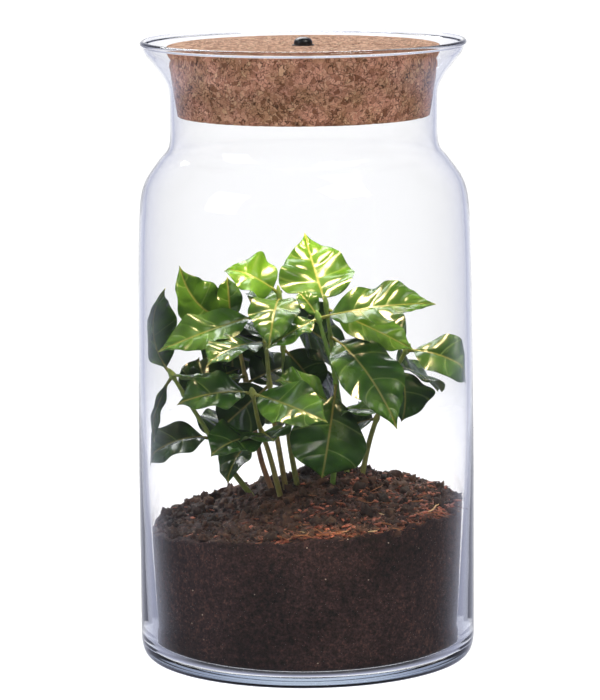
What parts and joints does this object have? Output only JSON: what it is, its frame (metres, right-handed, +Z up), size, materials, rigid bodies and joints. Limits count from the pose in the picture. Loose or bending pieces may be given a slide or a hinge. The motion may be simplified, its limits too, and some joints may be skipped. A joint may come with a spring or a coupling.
{
  "type": "glass plant terrarium",
  "caption": "Closed glass jar terrarium with a flared mouth, cork stopper with a push button and lamp, potting soil and a clump of coffee seedlings.",
  "frame": {"origin": "centre of the jar's foot, on the plane that it stands on", "axes": "+Z up along the jar's axis, -Y towards the viewer of the picture, +X to the viewer's right"},
  "size_m": [0.1804, 0.1804, 0.3327],
  "materials": {
    "glass": "gloss",
    "soil": "matte",
    "leaf": "satin",
    "cork": "matte",
    "switch_plastic": "satin",
    "nut_steel": "satin",
    "button_plastic": "gloss",
    "housing_plastic": "satin",
    "board": "matte",
    "lens_plastic": "satin",
    "cell_steel": "polished"
  },
  "bodies": {
    "terrarium": {"glass_jar": "glass", "potting_soil": "soil", "seedling_1": "leaf", "seedling_2": "leaf", "seedling_3": "leaf", "seedling_4": "leaf", "seedling_5": "leaf", "seedling_6": "leaf", "seedling_7": "leaf", "seedling_8": "leaf", "cork_stopper": "cork", "switch_body": "switch_plastic", "switch_nut": "nut_steel", "lamp_housing": "housing_plastic", "led_board": "board", "lamp_lens": "lens_plastic", "battery_cell_1": "cell_steel", "battery_cell_2": "cell_steel", "battery_cell_3": "cell_steel"},
    "button": {"button_cap": "button_plastic"}
  },
  "joints": [
    {"name": "button_press", "type": "slide", "parent": "terrarium", "child": "button", "axis": [0, 0, -1], "range_m": [0, 0.0015], "stiffness_N_per_m": 200}
  ]
}
